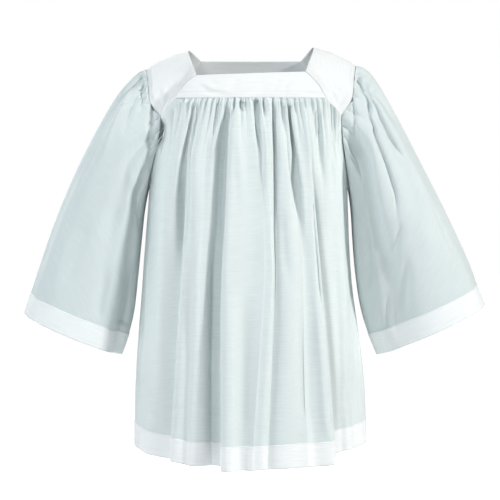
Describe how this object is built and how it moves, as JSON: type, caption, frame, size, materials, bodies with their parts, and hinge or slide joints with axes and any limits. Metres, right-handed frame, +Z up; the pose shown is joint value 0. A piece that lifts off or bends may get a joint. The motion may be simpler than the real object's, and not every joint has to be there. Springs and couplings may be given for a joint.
{
  "type": "surplice",
  "caption": "Square-yoked surplice with gathered front and back, wide bell sleeves and turned-up hems, hollow in its worn form.",
  "frame": {"origin": "between the shoulders, midway across the neckline, at the height of its two highest points", "axes": "+Z up, +X towards the wearer's left, the front faces -Y"},
  "size_m": [0.9241, 0.3838, 0.8133],
  "materials": {
    "cloth": "fine plain-weave batiste, matt, slightly sheer",
    "doubled": "the same batiste doubled, matt and opaque"
  },
  "bodies": {
    "root": {"yoke_front": "doubled", "yoke_left": "doubled", "yoke_back": "doubled", "yoke_right": "doubled", "front": "cloth", "hem_front": "doubled", "back": "cloth", "hem_back": "doubled", "sleeve_left": "cloth", "cuff_left": "doubled", "sleeve_right": "cloth", "cuff_right": "doubled"}
  },
  "joints": []
}
